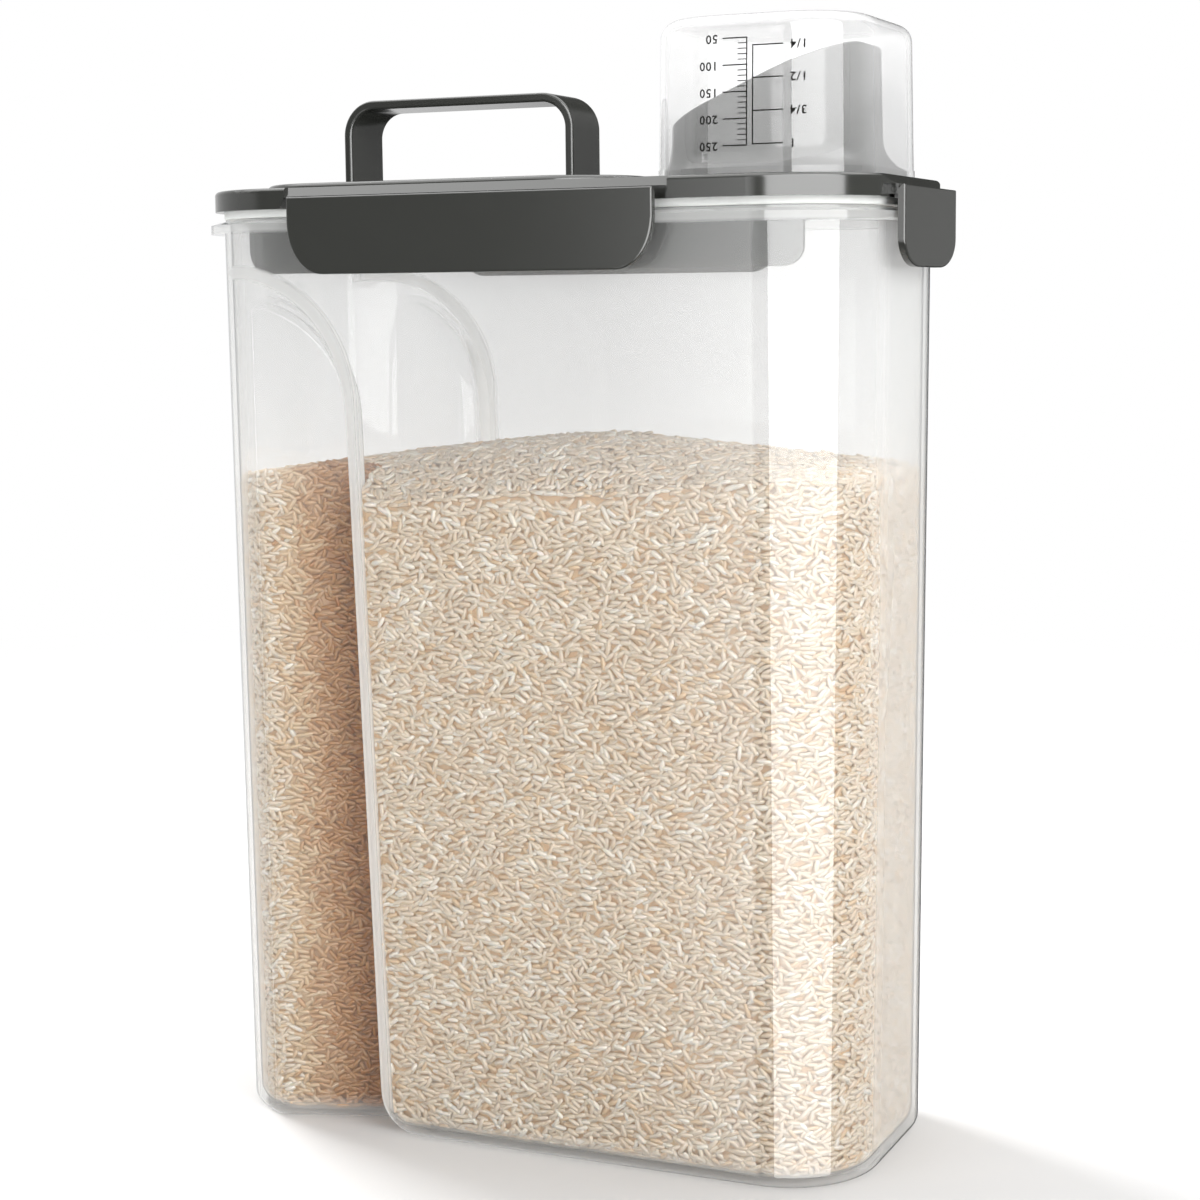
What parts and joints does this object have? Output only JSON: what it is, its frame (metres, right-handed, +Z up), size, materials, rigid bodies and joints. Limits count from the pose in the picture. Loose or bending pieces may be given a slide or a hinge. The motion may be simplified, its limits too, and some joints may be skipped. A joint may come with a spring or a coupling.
{
  "type": "rice storage container",
  "caption": "Tall clear rice storage container with a grey lid held by hinged latches, a strap handle, a pour spout under an upturned measuring cup and grip recesses in its walls.",
  "frame": {"origin": "middle of the underside that the container stands on", "axes": "+Z up; +X towards the pour spout and measuring cup, so the handle is towards -X; the front with the long latch is -Y"},
  "size_m": [0.2664, 0.1304, 0.3965],
  "materials": {
    "clear_plastic": "clear, polished",
    "grey_plastic": "satin",
    "frosted_plastic": "lightly frosted, translucent",
    "white_silicone": "matt"
  },
  "bodies": {
    "container": {"container": "clear_plastic"},
    "lid": {"lid": "grey_plastic", "lid_gasket": "white_silicone", "handle": "grey_plastic"},
    "front_latch": {"front_latch": "grey_plastic"},
    "rear_latch": {"rear_latch": "grey_plastic"},
    "end_latch": {"end_latch": "grey_plastic"},
    "measuring_cup": {"measuring_cup": "frosted_plastic"}
  },
  "joints": [
    {"name": "lid_lift", "type": "slide", "parent": "container", "child": "lid", "axis": [0, 0, 1], "range_m": [0, 0.12]},
    {"name": "front_latch_hinge", "type": "hinge", "parent": "lid", "child": "front_latch", "pos_m": [-0.0104, -0.0599, 0.3384], "axis": [-1, 0, 0], "range_deg": [0, 85]},
    {"name": "rear_latch_hinge", "type": "hinge", "parent": "lid", "child": "rear_latch", "pos_m": [-0.0104, 0.0599, 0.3384], "axis": [1, 0, 0], "range_deg": [0, 85]},
    {"name": "end_latch_hinge", "type": "hinge", "parent": "lid", "child": "end_latch", "pos_m": [0.1294, 0, 0.3384], "axis": [0, -1, 0], "range_deg": [0, 85]},
    {"name": "cup_lift", "type": "slide", "parent": "lid", "child": "measuring_cup", "axis": [0, 0, 1], "range_m": [0, 0.09]}
  ]
}
